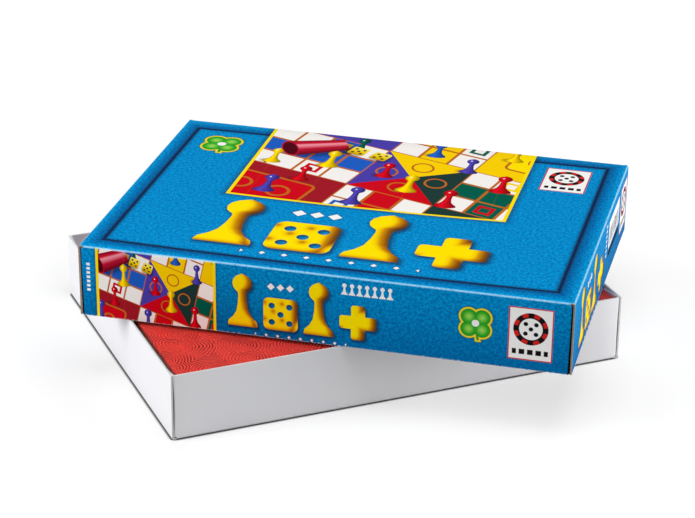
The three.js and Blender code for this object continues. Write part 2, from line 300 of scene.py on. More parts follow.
def foldedCarton(name, size, *materials):
    # the materials are for the outer face, the inner face and the cut edge
    # the printed face is up and the walls hang down; the net lies about the middle of the panel
    halfLength, halfWidth = size["length"] / 2, size["width"] / 2
    bend = size["bend"]
    drawn = sum(math.cos(math.radians(foldTurn * k)) for k in range(1, foldStrips + 1))
    strip, tabStrip = bend / drawn, cornerCut["turn"] / drawn
    wallRun = foldStrips * strip + size["height"] - bend
    tabStart = halfLength - size["card"] - cornerCut["glue"] - cornerCut["turn"]
    tabEnd = tabStart + foldStrips * tabStrip + cornerCut["tabLength"] - cornerCut["turn"]
    endFolds = [halfLength - bend + k * strip for k in range(foldStrips + 1)]
    sideFolds = [halfWidth - bend + k * strip for k in range(foldStrips + 1)]
    tabFolds = [tabStart + k * tabStrip for k in range(foldStrips + 1)]
    endEdge, sideEdge = endFolds[0] + wallRun, sideFolds[0] + wallRun
    cutLow = halfWidth - cornerCut["setback"]
    cutHigh = sideFolds[-1] + size["card"] + cornerCut["relief"] - bend

    deselectAll()
    bpy.ops.mesh.primitive_plane_add(size=1, location=(0, 0, 0))
    blank = bpy.context.object
    blank.name = name
    blank.data.name = name
    setMaterials(blank, *materials)
    blank.data.uv_layers[0].name = "net"
    editPiece(blank)
    bpy.ops.transform.resize(value=(2 * endEdge * mm, 2 * sideEdge * mm, 1))

    wallCuts = [bend + (size["height"] - bend) * share for share in cutShares["wall"]]
    across = endFolds + tabFolds + [tabStart + cornerCut["slit"], tabEnd]
    across += [endFolds[-1] + cut - bend for cut in wallCuts]
    across += [halfLength * share for share in cutShares["length"]]
    upward = sideFolds + [cutLow, cutHigh] + [sideFolds[-1] + cut - bend for cut in wallCuts]
    upward += [halfWidth * share for share in cutShares["width"]]
    for cuts, normal in ((across, (1, 0, 0)), (upward, (0, 1, 0))):
        for cut in sorted({round(side * at, 4) for at in cuts for side in (-1, 1)}):
            cutThrough([cut * mm * part for part in normal], normal)

    def flatPlace(face):
        middle = face.calc_center_median()
        return middle.x / mm, middle.y / mm

    def waste(face):
        x, y = flatPlace(face)
        x, y = abs(x), abs(y)
        if x > tabStart and cutLow < y < cutHigh:
            return True
        if tabStart < x < tabStart + cornerCut["slit"] and sideFolds[0] < y < cutHigh:
            return True
        return (x > tabEnd and y > cutHigh) or (x > tabStart and y > sideEdge)

    pick(blank, "faces", waste)
    bpy.ops.mesh.delete(type="FACE")

    shape = bmesh.from_edit_mesh(blank.data)
    for vert in shape.verts:  # the tabs are cut narrower towards their free ends
        x, y = abs(vert.co.x) / mm, abs(vert.co.y) / mm
        if x > tabFolds[-1] and y > cutHigh - 0.01:
            along = (x - tabFolds[-1]) / (tabEnd - tabFolds[-1])
            middle = (cutHigh + sideEdge) / 2
            squeeze = 1 - along * cornerCut["tabTaper"] / (sideEdge - middle)
            vert.co.y = math.copysign((middle + (y - middle) * squeeze) * mm, vert.co.y)
    net = shape.loops.layers.uv["net"]
    for face in shape.faces:
        for corner in face.loops:
            corner[net].uv = (corner.vert.co.x, corner.vert.co.y)
    places = {face.index: flatPlace(face) for face in shape.faces}
    bmesh.update_edit_mesh(blank.data)

    def fold(beyond, at, axis, side):
        pick(blank, "faces", lambda face: beyond(*places[face.index]))
        pivot = (side * at * mm, 0, 0) if axis == "Y" else (0, side * at * mm, 0)
        turn = math.radians(foldTurn) * side * (-1 if axis == "Y" else 1)
        bpy.ops.transform.rotate(value=turn, orient_axis=axis, orient_type="GLOBAL",
                                 center_override=pivot)

    for side in (-1, 1):
        for at in reversed(tabFolds):
            fold(lambda x, y: side * x > at and abs(y) > cutHigh, at, "Y", side)
    for side in (-1, 1):
        for at in reversed(sideFolds):
            fold(lambda x, y: side * y > at and (abs(x) < tabStart or abs(y) > cutHigh),
                 at, "X", side)
        for at in reversed(endFolds):
            fold(lambda x, y: side * x > at and abs(y) < cutLow, at, "Y", side)

    shape = bmesh.from_edit_mesh(blank.data)
    for vert in shape.verts:  # the free edges have drawn in a little, the panel has risen a little
        x, y, z = vert.co
        depth = min(1, -z / (size["height"] * mm))
        alongX = max(0, 1 - (x / (halfLength * mm)) ** 2)
        alongY = max(0, 1 - (y / (halfWidth * mm)) ** 2)
        if abs(y) > (halfWidth - wallBand) * mm:
            vert.co.y -= math.copysign(size["drawnIn"] * mm * alongX * depth, y)
        elif abs(x) > (halfLength - wallBand) * mm:
            vert.co.x -= math.copysign(size["drawnIn"] * mm * endShare * alongY * depth, x)
        if z > -0.1 * mm:
            vert.co.z -= size["sag"] * mm * alongX * alongY
    bmesh.update_edit_mesh(blank.data)
    toObjectMode()
    addModifier(blank, "SOLIDIFY", thickness=size["card"] * mm, offset=-1, use_even_offset=True,
                material_offset=1, material_offset_rim=2)
    addModifier(blank, "BEVEL", width=cardEdge["bevel"] * mm, segments=1, limit_method="ANGLE",
                angle_limit=math.radians(cardEdge["bevelFrom"]), harden_normals=False)
    editPiece(blank, "VERT")  # slivers beside the tight folds go
    bpy.ops.mesh.select_all(action="SELECT")
    bpy.ops.mesh.remove_doubles(threshold=cardEdge["sliver"] * mm)
    bpy.ops.mesh.dissolve_degenerate(threshold=cardEdge["sliver"] * mm)
    toObjectMode()
    return blank


# print of the lid, on the net of the blank in mm: right end is +u, back is +v

lidSize = dict(length=342, width=246, height=52, card=1.2, bend=1.4, drawnIn=0.5, sag=0.35)
lidPlace = dict(x=14.8, y=-14, top=100.1, turn=-36.6)
ink = dict(
    navy=inked(20, 34, 70), yellow=inked(255, 226, 0), gold=inked(250, 208, 0),
    ochre=inked(204, 136, 4), umber=inked(140, 84, 14), brown=inked(84, 54, 34),
    white=inked(246, 245, 244), ivory=inked(246, 242, 238), black=inked(24, 20, 24),
    indigo=inked(74, 62, 168), cornflower=inked(30, 92, 192), green=inked(0, 92, 74),
    darkGreen=inked(30, 58, 54), red=inked(206, 6, 26), wine=inked(160, 24, 38),
    orange=inked(192, 104, 30))
lidArt = dict(
    frame=(-0.2, -1.1, 157.3, 109.8),  # middle and half sizes of the dark line on the panel
    frameBow=0.00011, frameLean=0.011,  # its front side bows with the panel, its far side leans
    picture=dict(top=(0.6, 60, 1), front=(-116, -148.3, 0.51)),  # middle u, v and scale
    shapes=dict(top=(-0.5, -91.6, 1), front=(-14, -168.3, 0.512), right=(-43, 216.3, 0.53)),
    clover=dict(top=(-131.5, 81, 0.9), front=(105.6, -144.8, 0.68)),
    tile=dict(top=(130.8, 80.3, 1), front=(142.6, -148.2, 0.9), right=(104.5, 195.5, 0.86)))
# low is the colour of the painted shade down the walls
lidGround = dict(deep=inked(0, 107, 175), bright=inked(7, 168, 232), cloud=inked(0, 122, 184),
                 low=inked(0, 66, 132), grainScale=0.47, cloudScale=0.035)
# fold is a pale line of wear and painted highlight, groove is painted shade, chip is the board
# showing through worn print
lidWearAndPaintedLight = dict(fold=inked(166, 218, 244), grooveShade=inked(16, 14, 26), chip=inked(216, 214, 214),
               share=0.8, scale=0.5, grooveWide=1.15, grooveLean=-0.018, chipDeep=-3.2)


def artSpace(panels, places):
    # one motif's own coordinates on whichever panel of the net the point lies
    for panel, (x, y, scale) in places.items():  # the top comes first
        onEnd = panel == "right"
        shift = (-x / scale, (y if onEnd else -y) / scale, 0)
        other = mapped(panels["turned" if onEnd else "flat"], shift, (1 / scale, 1 / scale, 1))
        space = other if panel == "top" else vectorMix(panels[panel], space, other)
    return space


def printed(depth):
    return fade(depth, -0.2, 0.2)  # ink where the depth in mm is positive


def upTo(distance, reach, soft=0.2):
    return fade(distance, reach + soft, reach - soft)


def within(x, y, halfX, halfY):
    # how far inside a box the point is, in mm
    return least(minus(halfX, away(x)), minus(halfY, away(y)))


def roundedWithin(x, y, halfX, halfY, corner):
    overX, overY = minus(away(x), halfX - corner), minus(away(y), halfY - corner)
    outX, outY = most(overX, 0.0), most(overY, 0.0)
    outside = calc("SQRT", plus(times(outX, outX), times(outY, outY)))
    return minus(corner, plus(outside, least(most(overX, overY), 0.0)))


def distanceTo(x, y, centreX=0.0, centreY=0.0):
    return vectorCalc("LENGTH", together(minus(x, centreX), minus(y, centreY)))


def repeated(value, pitch):
    return calc("WRAP", value, pitch / 2, -pitch / 2)


def fivePips(x, y, pitch):
    # distance to the nearest of five pips
    x, y = away(x), away(y)
    return least(distanceTo(x, y), distanceTo(x, y, pitch, pitch))


pawnOutline = [(0, 20), (3, 20.5), (8, 19), (14, 13), (22, 8.5), (34, 6.4), (46, 5.6), (50, 6.5),
               (52, 9), (56, 12.2), (62, 13.6), (68, 12.4), (73, 8.4), (77, 0.5)]
pawnTall, pawnCurveTop = 77, 24


def pawnGirth(height, below=((-6, 20),), end=84):
    # half the width of the drawn pawn at a height
    return curveOf(height, [*below, *pawnOutline, (end, 0)], pawnCurveTop)


shapesArt = dict(dieX=-27, dieHalf=23.5, dieCorner=8, pipAt=12, pip=4.3, pawnsApart=52,
                 crossX=78, crossHalf=25, crossArm=9.5, crossCorner=4,
                 towardsLight=(10.0, -4.0, 0), shadow=(-1.6, 2.2, 0),
                 marksAbove=dict(up=63, pitch=13, count=3, half=5.2),
                 marksBelow=dict(up=-8.6, pitch=15.6, count=8, half=2.3))


def shapesDepth(space):
    # four raised shapes, pawn, die, pawn and cross: positive inside, in mm
    art = shapesArt
    x, y, _ = apart(space)
    dieX, dieY = minus(x, art["dieX"]), minus(y, art["dieHalf"])
    folded = away(minus(away(dieX), art["pawnsApart"]))
    pawns = times(minus(pawnGirth(y), folded), 0.9)
    pawns = least(pawns, least(y, minus(pawnTall, y)))
    die = roundedWithin(dieX, dieY, art["dieHalf"], art["dieHalf"], art["dieCorner"])
    die = least(die, minus(fivePips(dieX, dieY, art["pipAt"]), art["pip"]))
    half, arm, corner = art["crossHalf"], art["crossArm"], art["crossCorner"]
    crossX, crossY = minus(x, art["crossX"]), minus(y, half)
    cross = most(roundedWithin(crossX, crossY, half, arm, corner),
                 roundedWithin(crossX, crossY, arm, half, corner))
    return most(pawns, most(die, cross))


def paintShapes(colour, space):
    depth = shapesDepth(space)
    lit = shapesDepth(mapped(space, shapesArt["towardsLight"]))
    cast = shapesDepth(mapped(space, shapesArt["shadow"]))
    colour = mix(times(fade(cast, -4.5, 1.5), 0.75), colour, ink["navy"])
    face = ramp(lit, [(-10, ink["brown"]), (-6.8, ink["umber"]), (-3.4, ink["ochre"]),
                      (-0.2, ink["gold"]), (3, ink["yellow"])])
    return mix(fade(depth, -0.2, 0.25), colour, face)


def diamonds(x, y, row):
    # a row of small lozenges about the middle
    pitch = row["pitch"]
    offLine = plus(away(repeated(x, pitch)), away(minus(y, row["up"])))
    return least(minus(row["half"], offLine), minus(row["count"] * pitch / 2, away(x)))


boardArt = dict(middle=(20, -4), turn=13, slant=0.08, cell=24, line=1.15,
                yardAt=3.75, yardHalf=1.55,  # these two are in cells
                yardCorner=5, ringAt=16, ring=8.5, mark=5.2, goalAt=20.5, goal=8)


def paintBoard(space):
    # a cross of cells between four coloured yards, seen a little turned
    art, cell, line = boardArt, boardArt["cell"], boardArt["line"]
    moved = mapped(space, (-art["middle"][0], -art["middle"][1], 0))
    x, y, _ = apart(mapped(moved, turn=art["turn"]))
    y = plus(y, times(x, art["slant"]))
    awayX, awayY = away(x), away(y)
    right, above = printed(x), printed(y)

    def quarters(lowerLeft, lowerRight, upperLeft, upperRight):
        lower = mix(right, ink[lowerLeft], ink[lowerRight])
        return mix(above, lower, mix(right, ink[upperLeft], ink[upperRight]))

    plotX, plotY = (minus(part, art["yardAt"] * cell) for part in (awayX, awayY))
    yardHalf = art["yardHalf"] * cell
    plot = roundedWithin(plotX, plotY, yardHalf, yardHalf, art["yardCorner"])
    yard = mix(printed(plot), quarters("wine", "darkGreen", "indigo", "gold"),
               quarters("red", "green", "cornflower", "yellow"))
    ring = distanceTo(away(plotX), away(plotY), art["ringAt"], art["ringAt"])
    ring = upTo(away(minus(ring, art["ring"])), line + 0.1)
    yard = mix(most(upTo(away(plot), line), ring), yard, ink["orange"])
    # arms of the cross
    wide = greater(awayX, awayY)
    along, aside = most(awayX, awayY), least(awayX, awayY)
    sideHome = mix(right, ink["cornflower"], ink["green"])
    uprightHome = mix(above, ink["red"], ink["gold"])
    home = mix(wide, uprightHome, sideHome)
    lane = mix(less(aside, cell / 2), ink["ivory"], home)
    gate = times(less(away(minus(along, 3 * cell)), cell / 2), less(times(x, y), 0.0))
    lane = mix(gate, lane, home)
    gridX, gridY = (calc("PINGPONG", plus(part, cell / 2), cell / 2) for part in (x, y))
    fromMiddle = most(minus(cell / 2, gridX), minus(cell / 2, gridY))
    mark = upTo(away(minus(fromMiddle, art["mark"])), 1.5, 0.3)
    odd = greater(calc("PINGPONG", minus(along, cell), 2 * cell), 1.5 * cell)
    odd = times(odd, greater(aside, cell / 2))
    lane = mix(times(odd, mark), lane, mix(wide, sideHome, uprightHome))
    lane = mix(upTo(least(gridX, gridY), line), lane, ink["orange"])
    board = mix(upTo(aside, 1.5 * cell), yard, lane)
    # the middle: four triangles with a ring in each
    centre = mix(wide, uprightHome, mix(right, ink["indigo"], ink["darkGreen"]))
    goal = away(minus(distanceTo(along, aside, art["goalAt"], 0), art["goal"]))
    centre = mix(upTo(goal, 0.9), centre, ink["orange"])
    return mix(upTo(along, 1.5 * cell), board, centre)


pictureArt = dict(
    half=99.2, top=68, low=-66.8, bow=2.7 / 102 ** 2, tilt=0.017, border=2.5,
    frontHalf=-19.1, frontLow=-45, frontBorder=1.2,  # added to them on the front wall
    cup=dict(shift=(60, -36, 0), turn=-24), cupLong=22, cupWide=12.5, cupTaper=0.09,
    dice=dict(shift=(20, -32, 0), turn=18), diceApart=9.5, dieHalf=7, pipAt=3.4, pip=1.3,
    pawnRows=(dict(pitch=29, start=-101.5, height=27, feet=(-2, -30, 34, -8, 40, 16, 46),
                   inks=("gold", "red", "green", "red", "cornflower", "indigo", "gold")),
              dict(pitch=33, start=-94, height=31, feet=(-56, 0, -62, -30, -50, -14),
                   inks=("indigo", "gold", "indigo", "gold", "red", "red"))))


def paintRowOfPawns(colour, space, row):
    # one small pawn in each upright strip of the picture, with its own foot line and colour
    pitch, start, height = row["pitch"], row["start"], row["height"]
    x, y, _ = apart(space)
    strip = minus(calc("WRAP", minus(x, start), pitch, 0.0), pitch / 2)
    steps = [start + pitch * place for place in range(len(row["feet"]) + 1)]
    lowest, tallest = -70.0, 140.0
    feet = [(at, [(foot - lowest) / tallest] * 3 + [1]) for at, foot in zip(steps, row["feet"])]
    footLine = timesPlus(ramp(x, feet, steps[-1], "CONSTANT"), tallest, lowest)
    inks = [(at, ink[tint]) for at, tint in zip(steps, row["inks"])]
    paint = ramp(x, inks, steps[-1], "CONSTANT")
    up = minus(y, footLine)
    girth = pawnGirth(times(up, pawnTall / height), ((-6, 0), (-4, 12)), 80)
    girth = times(girth, height / pawnTall)
    foot = distanceTo(times(minus(strip, -2.2), 0.55), minus(up, 1.5))
    colour = mix(times(upTo(foot, 3.6, 1.6), 0.6), colour, ink["black"])
    across = calc("DIVIDE", strip, most(girth, 0.2))
    levels = ((-1, 0.45), (-0.4, 1.35), (0.1, 0.95), (1, 0.28))
    light = ramp(across, [(at, (level, level, level, 1)) for at, level in levels])
    body = mix(1.0, paint, light, "MULTIPLY")
    glint = distanceTo(minus(strip, -0.045 * height), minus(up, 0.84 * height))
    body = mix(upTo(glint, 0.75, 0.35), body, ink["white"])
    return mix(fade(minus(girth, away(strip)), -0.1, 0.25), colour, body)


def paintCupAndDice(colour, space):
    art = pictureArt
    x, y, _ = apart(mapped(mapped(space, art["cup"]["shift"]), turn=art["cup"]["turn"]))
    shade = roundedWithin(minus(x, 2), minus(y, -6), 25, 13, 12)
    colour = mix(times(fade(shade, -4, 4), 0.6), colour, ink["black"])
    girth = timesPlus(x, -art["cupTaper"], art["cupWide"])
    belly = least(minus(girth, away(y)), minus(art["cupLong"], away(x)))
    gloss = ramp(calc("DIVIDE", y, girth), [
        (-1, inked(96, 4, 22)), (-0.2, inked(190, 20, 50)), (0.35, inked(244, 150, 165)),
        (0.55, inked(206, 24, 52)), (1, inked(140, 8, 32))])
    colour = mix(fade(belly, -0.1, 0.3), colour, gloss)
    mouth = distanceTo(times(minus(x, -art["cupLong"]), 2.3), y)
    colour = mix(upTo(mouth, 14.3, 0.3), colour, inked(176, 14, 44))
    colour = mix(upTo(mouth, 12.1, 0.5), colour, inked(78, 4, 20))
    # two yellow dice beside it
    x, y, _ = apart(mapped(mapped(space, art["dice"]["shift"]), turn=art["dice"]["turn"]))
    x = minus(away(x), art["diceApart"])
    cast = roundedWithin(minus(x, 2), minus(y, -3), 8, 7, 4)
    colour = mix(times(fade(cast, -2, 3), 0.6), colour, ink["black"])
    half = art["dieHalf"]
    body = ramp(y, [(-half, inked(196, 150, 0)), (0, inked(240, 206, 20)),
                    (half, inked(252, 236, 110))])
    colour = mix(fade(roundedWithin(x, y, half, half, 2), -0.1, 0.2), colour, body)
    return mix(upTo(fivePips(x, y, art["pipAt"]), art["pip"]), colour, ink["black"])


def paintPicture(colour, space, onFront):
    art = pictureArt
    x, y, _ = apart(space)
    low = timesPlus(x, art["tilt"], timesPlus(times(x, x), art["bow"], art["low"]))
    low = timesPlus(onFront, art["frontLow"], low)  # it runs past the front panel's lower edge
    half = timesPlus(onFront, art["frontHalf"], art["half"])
    depth = least(minus(half, away(x)), minus(y, low))
    depth = least(depth, minus(art["top"], y))
    border = timesPlus(onFront, art["frontBorder"], art["border"])
    colour = mix(times(fade(depth, -8.5, -1.5), 0.6), colour, ink["navy"])
    colour = mix(printed(plus(depth, border)), colour, ink["yellow"])
    farRow, nearRow = art["pawnRows"]
    board = paintCupAndDice(paintRowOfPawns(paintBoard(space), space, farRow), space)
    return mix(printed(depth), colour, paintRowOfPawns(board, space, nearRow))


cloverArt = dict(leafAt=6.6, leaf=8.2, stalk=(-11, 1.1, 7), heart=3.7)


def paintClover(colour, space):
    x, y, _ = apart(space)
    leafAt = cloverArt["leafAt"]
    leaves = minus(cloverArt["leaf"], distanceTo(away(x), away(y), leafAt, leafAt))
    stalkAt, halfWide, halfTall = cloverArt["stalk"]
    stalk = within(minus(x, times(y, -0.15)), minus(y, stalkAt), halfWide, halfTall)
    depth = most(leaves, stalk)
    colour = mix(fade(depth, -2.9, -2.3), colour, inked(20, 74, 40))
    colour = mix(fade(depth, -2.2, -1.7), colour, inked(236, 214, 60))
    green = ramp(depth, [(0, inked(16, 140, 40)), (3, inked(60, 176, 40)),
                         (7, inked(150, 214, 90))])
    colour = mix(fade(depth, -0.3, 0.3), colour, green)
    return mix(upTo(distanceTo(x, y), cloverArt["heart"], 0.3), colour, ink["white"])


tileArt = dict(half=(15.7, 20.4), wheelUp=4.2, wheel=13, band=11.3, bandHalf=1.5, spokes=8,
               hub=8.7, pipAt=3.9, pip=1.7, foot=dict(at=-14.6, pitch=6.2, half=2.1, run=13.4))


def paintTile(colour, space):
    art = tileArt
    x, y, _ = apart(space)
    plate = within(x, y, *art["half"])
    colour = mix(fade(plate, -1.1, -0.7), colour, inked(212, 56, 52))
    colour = mix(printed(plate), colour, ink["white"])
    up = minus(y, art["wheelUp"])
    wheel = distanceTo(x, up)
    colour = mix(upTo(wheel, art["wheel"]), colour, ink["black"])
    spoke = calc("PINGPONG", times(calc("ARCTAN2", up, x), art["spokes"] / math.pi), 1.0)
    band = upTo(away(minus(wheel, art["band"])), art["bandHalf"])
    colour = mix(times(greater(spoke, 0.5), band), colour, inked(214, 38, 34))
    colour = mix(upTo(wheel, art["hub"]), colour, ink["white"])
    colour = mix(upTo(fivePips(x, up, art["pipAt"]), art["pip"]), colour, ink["black"])
    foot = art["foot"]
    row = within(repeated(x, foot["pitch"]), minus(y, foot["at"]), foot["half"], foot["half"])
    row = least(row, minus(foot["run"], away(x)))
    return mix(printed(row), colour, ink["black"])


labelArt = dict(place=(-56, 188, 0), half=(25, 10.5), bars=(21, 6), barScale=1.1,
                foot=(-15.5, 2.2), ticks=dict(at=-36, half=(2.6, 0.9), pitch=3.8, run=13))
tinyPawns = dict(place=(-32, 135.4, 0), height=8.4, pitch=5.2, run=18.2)
leftTicks = dict(place=(164.2, 145, 0), at=0, half=(1.2, 0.9), pitch=3.2, run=11.2)


def tickDepth(x, y, art):
    # a column of short ticks
    ticks = within(minus(x, art["at"]), repeated(y, art["pitch"]), *art["half"])
    return least(ticks, minus(art["run"], away(y)))


def paintSmallMarks(colour, panels):
    # end label with bars and a column of ticks beside it
    onEnd, onFront = panels["right"], panels["front"]
    x, y, _ = apart(mapped(panels["turned"], labelArt["place"]))
    label = within(x, minus(y, -0.5), *labelArt["half"])
    bars = greater(noise(together(x, 0.0), labelArt["barScale"], detail=1), 0.5)
    striped = times(bars, fade(within(x, minus(y, -3), *labelArt["bars"]), -0.1, 0.1))
    sheet = mix(striped, ink["white"], ink["black"])
    colour = mix(times(onEnd, printed(label)), colour, sheet)
    footAt, footHalf = labelArt["foot"]
    foot = within(x, minus(y, footAt), labelArt["half"][0], footHalf)
    colour = mix(times(onEnd, printed(foot)), colour, ink["black"])
    ticks = tickDepth(x, y, labelArt["ticks"])
    colour = mix(times(onEnd, printed(ticks)), colour, ink["white"])
    # tiny pawns on the long wall
    x, y, _ = apart(mapped(panels["flat"], tinyPawns["place"]))
    height = tinyPawns["height"]
    girth = times(pawnGirth(times(y, pawnTall / height)), height / pawnTall)
    tiny = minus(girth, away(repeated(x, tinyPawns["pitch"])))
    tiny = least(tiny, least(y, minus(tinyPawns["run"], away(x))))
    tiny = least(tiny, minus(height, y))
    colour = mix(times(onFront, fade(tiny, -0.15, 0.15)), colour, ink["white"])
    # ticks at its left
    x, y, _ = apart(mapped(panels["flat"], leftTicks["place"]))
    return mix(times(onFront, printed(tickDepth(x, y, leftTicks))), colour, ink["white"])


def lidPrint():
    material, shader = newMaterial("lidPrint", roughness=0.5, specular=0.01)
    flat = netMm()
    u, v, _ = apart(flat)
    foldU, foldV = lidSize["length"] / 2 - 0.35, lidSize["width"] / 2 - 0.35

    def panelsOf(flat):
        u, v, _ = apart(flat)
        return dict(flat=flat, turned=together(v, times(u, -1.0)), front=less(v, -foldV),
                    right=greater(u, foldU))

    near = panelsOf(flat)
    # the two far walls carry the picture and the raised shapes of the near ones again
    farWall = most(greater(v, foldV), less(u, -foldU))
    paired = panelsOf(vectorCalc("SCALE", flat, Scale=timesPlus(farWall, -2.0, 1.0)))
    # blue ground with a fine printed grain, and painted shade that darkens the walls towards their
    # free edges
    ground, wearAndPaintedLight = lidGround, lidWearAndPaintedLight
    grain = noise(flat, ground["grainScale"], detail=4, roughness=0.85)
    cloud = noise(flat, ground["cloudScale"])
    colour = mix(fade(grain, 0.38, 0.64), ground["deep"], ground["bright"])
    colour = mix(times(cloud, 0.22), colour, ground["cloud"])
    down = most(minus(away(u), foldU), minus(away(v), foldV))
    colour = mix(times(fade(down, -4, 62), 0.55), colour, ground["low"])
    # a soft dark frame on the panel, with a shade outside it
    middleU, middleV, halfU, halfV = lidArt["frame"]
    lean = times(u, lidArt["frameLean"])
    bow = minus(times(times(u, u), lidArt["frameBow"]), lean)
    straight = minus(v, timesPlus(less(v, 0.0), bow, lean))
    inward = within(minus(u, middleU), minus(straight, middleV), halfU, halfV)
    outward = times(inward, -1.0)
    plain = (1, 1, 1, 1)
    band = ramp(outward, [
        (-6, plain), (-4.4, plain), (-2, (0.8, 0.8, 0.82, 1)), (2.4, (1.6, 0.45, 0.56, 1)),
        (5, (1, 0.58, 0.68, 1)), (7.6, (0.8, 0.8, 0.86, 1)), (10.4, (0.8, 1.02, 1, 1)),
        (13, (0.9, 1.2, 1.14, 1))], 13.5)
    framed = mix(1.0, colour, band, "MULTIPLY")
    framed = mix(fade(away(minus(outward, 0.2)), 3.0, 0.1), framed, ink["navy"])
    colour = mix(times(less(away(u), foldU), less(away(v), foldV)), colour, framed)
    colour = paintPicture(colour, artSpace(paired, lidArt["picture"]), paired["front"])
    shapesSpace = artSpace(paired, lidArt["shapes"])
    colour = paintShapes(colour, shapesSpace)
    x, y, _ = apart(shapesSpace)
    marks = most(diamonds(minus(x, shapesArt["dieX"]), y, shapesArt["marksAbove"]),
                 diamonds(x, y, shapesArt["marksBelow"]))
    colour = mix(times(fade(marks, -2.2, 0), 0.5), colour, ink["navy"])
    colour = mix(fade(marks, -0.2, 0.25), colour, ink["white"])
    colour = paintClover(colour, artSpace(near, lidArt["clover"]))
    colour = paintTile(colour, artSpace(near, lidArt["tile"]))
    colour = paintSmallMarks(colour, near)
    # painted highlight and wear: a pale line along the folds, part wear and part painted highlight,
    # and worn chips along the free edges
    scuffAndHighlight = noise(flat, wearAndPaintedLight["scale"], detail=4, roughness=0.7)
    fold = least(away(minus(away(u), foldU)), away(minus(away(v), foldV)))
    foldWearAndHighlight = times(fade(fold, 1.05, 0.3), fade(scuffAndHighlight, 0.2, 0.55))
    colour = mix(times(foldWearAndHighlight, wearAndPaintedLight["share"]), colour, wearAndPaintedLight["fold"])
    # painted shade: the dark groove beside each raw edge, where a long wall turns in, opens towards
    # its lower end
    grooveAt = lidSize["length"] / 2 - lidSize["card"] - cornerCut["turn"]
    opening = timesPlus(down, wearAndPaintedLight["grooveLean"], grooveAt + wearAndPaintedLight["grooveWide"])
    grooveShade = fade(minus(away(u), opening), -0.3, 0.3)
    grooveShade = times(grooveShade, greater(away(v), foldV + 1))
    colour = mix(grooveShade, colour, wearAndPaintedLight["grooveShade"])
    chipLine = timesPlus(scuffAndHighlight, wearAndPaintedLight["chipDeep"], lidSize["height"] + 0.95)
    chips = fade(minus(down, chipLine), -0.2, 0.4)
    colour = mix(times(chips, wearAndPaintedLight["share"]), colour, wearAndPaintedLight["chip"])
    gloss = plus(timesPlus(cloud, 0.14, 0.42), times(chips, 0.3))
    skin = plus(noise(flat, 0.9, detail=3), times(noise(flat, 0.03), 6.0))
    surfaceOf(shader, colour, skin, 0.12, 0.35, gloss)
    return material


def cardMaterial(name, face, deep, roughness=0.6, specular=0.35, fibre=0.6, bump=0.1, grooveShade=None):
    # coated or bare board: faint fibres, soft clouding and a fine tooth
    material, shader = newMaterial(name, roughness, specular)
    place = objectMm()
    fibres = noise(mapped(place, scale=(1, 0.3, 1)), 1.6, detail=4, roughness=0.7)
    cloud = noise(place, 0.02, detail=3)
    colour = mix(times(fade(fibres, 0.35, 0.75), fibre), inked(*face), inked(*deep))
    colour = mix(times(fade(cloud, 0.4, 0.75), 0.35), colour, inked(*deep))
    if grooveShade:
        # painted shade in the gap beside the raw edges at the corners, widest at half height
        x, _, z = apart(place)
        bowed = calc("SINE", times(z, math.pi / grooveShade["height"]))
        opening = timesPlus(bowed, -0.75, grooveShade["at"] + 1.6)
        gapShade = fade(minus(away(x), opening), -0.25, 0.25)
        gapShade = times(gapShade, less(away(x), grooveShade["at"] + 2.2))
        gapShade = times(gapShade, greater(z, 2.5))
        colour = mix(times(gapShade, 0.8), colour, inked(60, 58, 60))
    skin = plus(noise(place, 1.4, detail=3), times(noise(place, 0.05), 4.0))
    surfaceOf(shader, colour, skin, bump, 0.3, timesPlus(cloud, 0.12, roughness - 0.06))
    return material


traySize = dict(length=334, width=242, height=47.8, card=1.2, bend=1.4, drawnIn=0.3, sag=0)
trayGrooveShade = dict(at=traySize["length"] / 2 - traySize["card"] - cornerCut["turn"],
                  height=traySize["height"])
whiteLiner = cardMaterial("trayWhiteLiner", (240, 240, 243), (232, 232, 237), fibre=0.5,
                          grooveShade=trayGrooveShade)
insideLiner = cardMaterial("insideLiner", (241, 241, 243), (229, 229, 231), roughness=0.7)
cutEdge = cardMaterial("rawCutEdge", (172, 146, 126), (118, 94, 80), roughness=0.85, specular=0.2,
                       fibre=0.9, bump=0.4)
trayEdge = cardMaterial("trayCutEdge", (226, 226, 227), (196, 195, 195), roughness=0.8,
                        specular=0.2, fibre=0.8, bump=0.3)


# lid and tray

lid = foldedCarton("lidCarton", lidSize, lidPrint(), insideLiner, cutEdge)
lid.rotation_euler = (0, 0, math.radians(lidPlace["turn"]))
lid.location = (lidPlace["x"] * mm, lidPlace["y"] * mm, lidPlace["top"] * mm)
settle(lid)
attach(lid, "lid")
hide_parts("lid")
print("lid folded")

tray = foldedCarton("trayCarton", traySize, whiteLiner, insideLiner, trayEdge)
tray.rotation_euler = (math.radians(180), 0, 0)
settle(tray)
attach(tray, "tray")
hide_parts("base_tray")
print("tray folded")


# folded board: red paper over the hinge, two leaves and the playing face

boardSize = dict(low=(-161.2, -119), high=(164, 110.2), bottom=39.4, top=45.3, paper=0.4,
                 hinge=1.3, turnIn=2.3, hingeSteps=6, bevel=0.08)
ringArt = dict(wanderScale=0.06, wander=5.0, scatter=0.75, lightFrom=(0.8, 0.6, 0),
               size=24, spacing=2.1, faintSize=15, faintSpacing=2.5, faintShift=(140, 60, 0))


